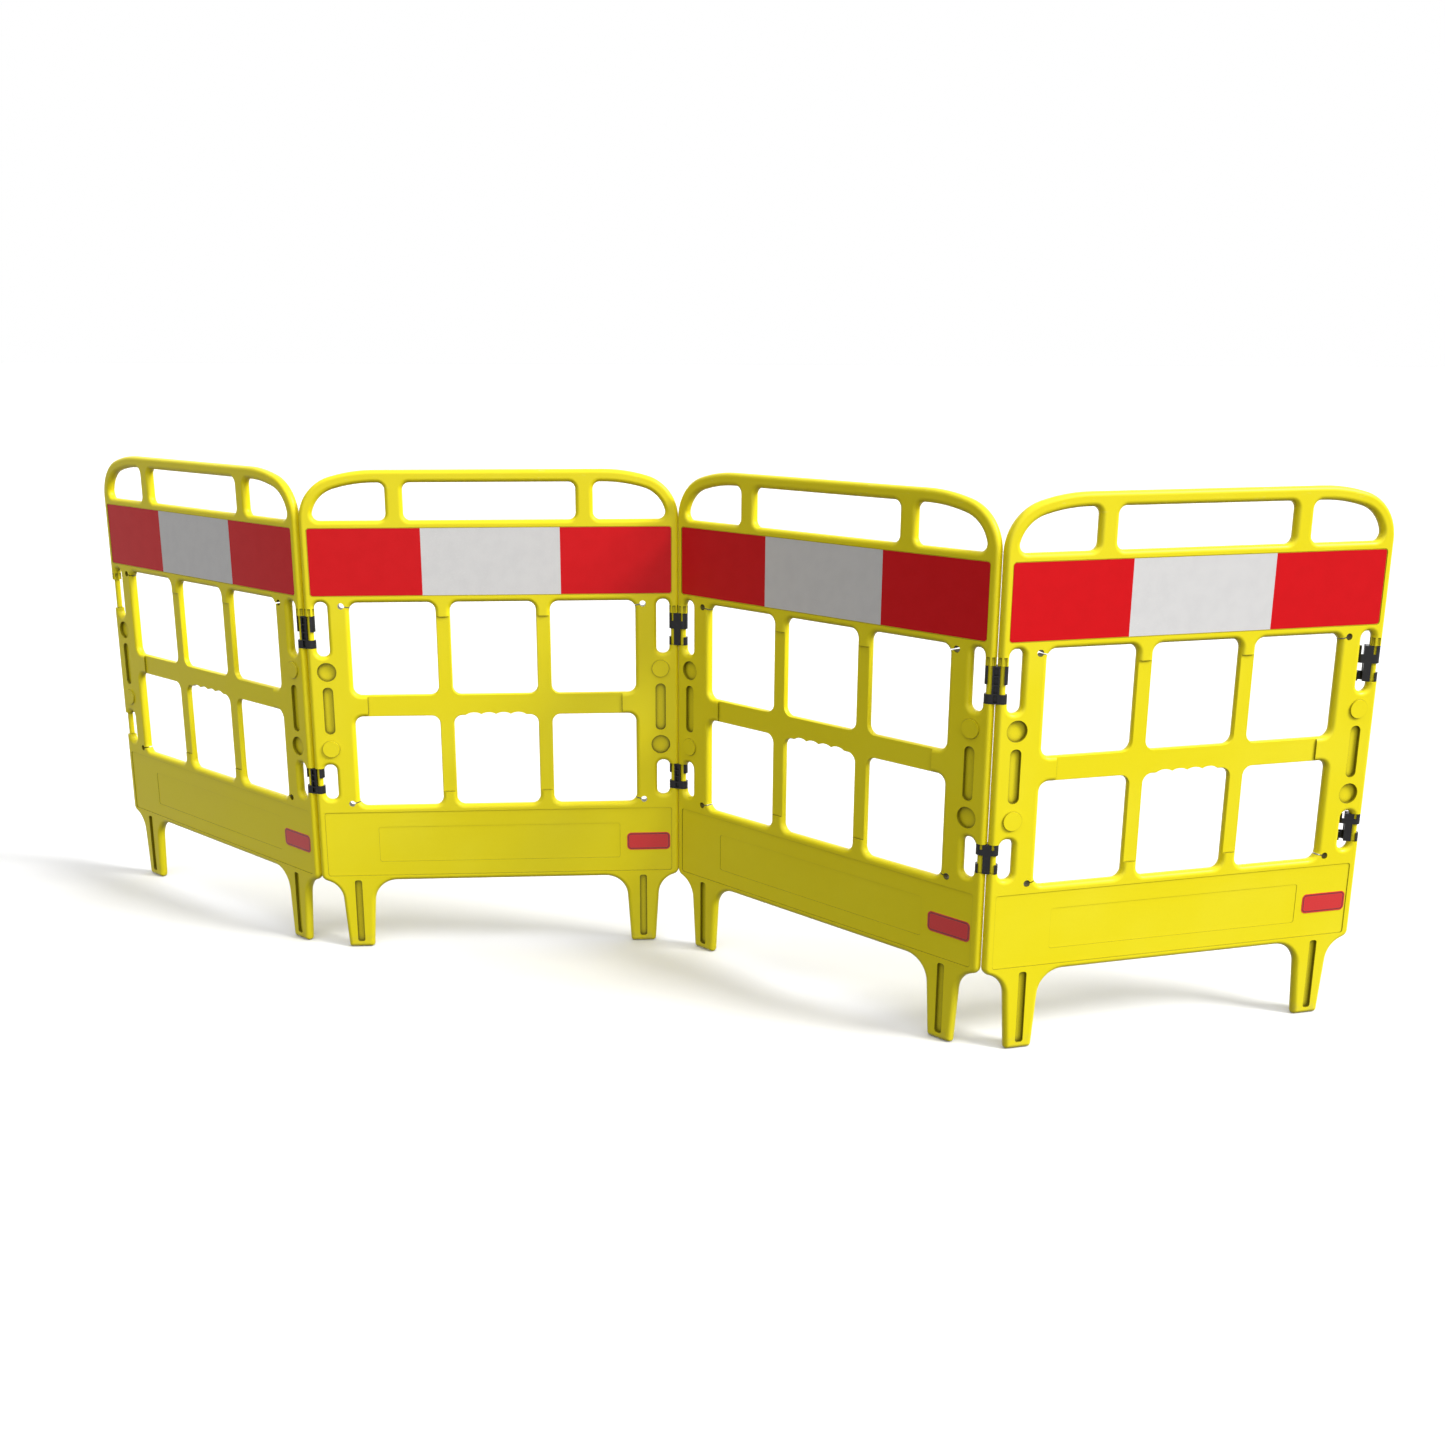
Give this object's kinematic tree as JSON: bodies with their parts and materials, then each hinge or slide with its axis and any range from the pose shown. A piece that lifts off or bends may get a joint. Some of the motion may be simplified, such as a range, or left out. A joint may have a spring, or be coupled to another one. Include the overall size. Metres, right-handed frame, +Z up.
{
  "type": "folding work barrier",
  "caption": "Free-standing zigzag work barrier of moulded plastic gates with window grids and reflective bands, joined edge to edge by push-fit swivel clips.",
  "frame": {"origin": "middle of the run's footprint, on the floor", "axes": "+X along the run of gates, from the gate with bare hinge bars to the gate with free clips; the sheeted faces look towards -Y; +Z up"},
  "size_m": [2.7087, 0.4029, 1],
  "materials": {
    "gate_plastic": "fine moulded grain, satin",
    "red_sheet": "retroreflective sheeting, smooth",
    "white_sheet": "retroreflective sheeting, fine cells",
    "label_plate": "smooth printed plate, left blank",
    "clip_plastic": "hard black moulding, satin"
  },
  "bodies": {
    "gate_1": {"gate_1": "gate_plastic", "red_sheeting_1": "red_sheet", "white_sheeting_1": "white_sheet", "blank_label_1": "label_plate"},
    "gate_2": {"gate_2": "gate_plastic", "red_sheeting_2": "red_sheet", "white_sheeting_2": "white_sheet", "blank_label_2": "label_plate"},
    "gate_3": {"gate_3": "gate_plastic", "red_sheeting_3": "red_sheet", "white_sheeting_3": "white_sheet", "blank_label_3": "label_plate"},
    "gate_4": {"gate_4": "gate_plastic", "red_sheeting_4": "red_sheet", "white_sheeting_4": "white_sheet", "blank_label_4": "label_plate"},
    "clips_12": {"upper_clip_1": "clip_plastic", "lower_clip_1": "clip_plastic"},
    "clips_23": {"upper_clip_2": "clip_plastic", "lower_clip_2": "clip_plastic"},
    "clips_34": {"upper_clip_3": "clip_plastic", "lower_clip_3": "clip_plastic"},
    "upper_free_clip": {"upper_clip_4": "clip_plastic"},
    "lower_free_clip": {"lower_clip_4": "clip_plastic"}
  },
  "joints": [
    {"name": "gate_2_to_clips_12", "type": "hinge", "parent": "gate_2", "child": "clips_12", "pos_m": [-0.65678, -0.10728, 0.525], "axis": [0, 0, -1], "range_deg": [-112.2, 67.8]},
    {"name": "clips_12_to_gate_1", "type": "hinge", "parent": "clips_12", "child": "gate_1", "pos_m": [-0.67717, -0.1066, 0.525], "axis": [0, 0, -1], "range_deg": [-112.2, 67.8]},
    {"name": "gate_2_to_clips_23", "type": "hinge", "parent": "gate_2", "child": "clips_23", "pos_m": [0.02881, 0.14633, 0.525], "axis": [0, 0, -1], "range_deg": [-113.85, 66.15]},
    {"name": "clips_23_to_gate_3", "type": "hinge", "parent": "clips_23", "child": "gate_3", "pos_m": [0.04918, 0.14507, 0.525], "axis": [0, 0, -1], "range_deg": [-113.85, 66.15]},
    {"name": "gate_3_to_clips_34", "type": "hinge", "parent": "gate_3", "child": "clips_34", "pos_m": [0.69817, -0.19134, 0.525], "axis": [0, 0, 1], "range_deg": [-119.25, 60.75]},
    {"name": "clips_34_to_gate_4", "type": "hinge", "parent": "clips_34", "child": "gate_4", "pos_m": [0.71856, -0.19068, 0.525], "axis": [0, 0, 1], "range_deg": [-119.25, 60.75]},
    {"name": "gate_4_to_upper_free_clip", "type": "hinge", "parent": "gate_4", "child": "upper_free_clip", "pos_m": [1.34449, 0.18691, 0.525], "axis": [0, 0, 1], "range_deg": [-330, 30]},
    {"name": "gate_4_to_lower_free_clip", "type": "hinge", "parent": "gate_4", "child": "lower_free_clip", "pos_m": [1.34449, 0.18691, 0.525], "axis": [0, 0, 1], "range_deg": [-330, 30]}
  ]
}
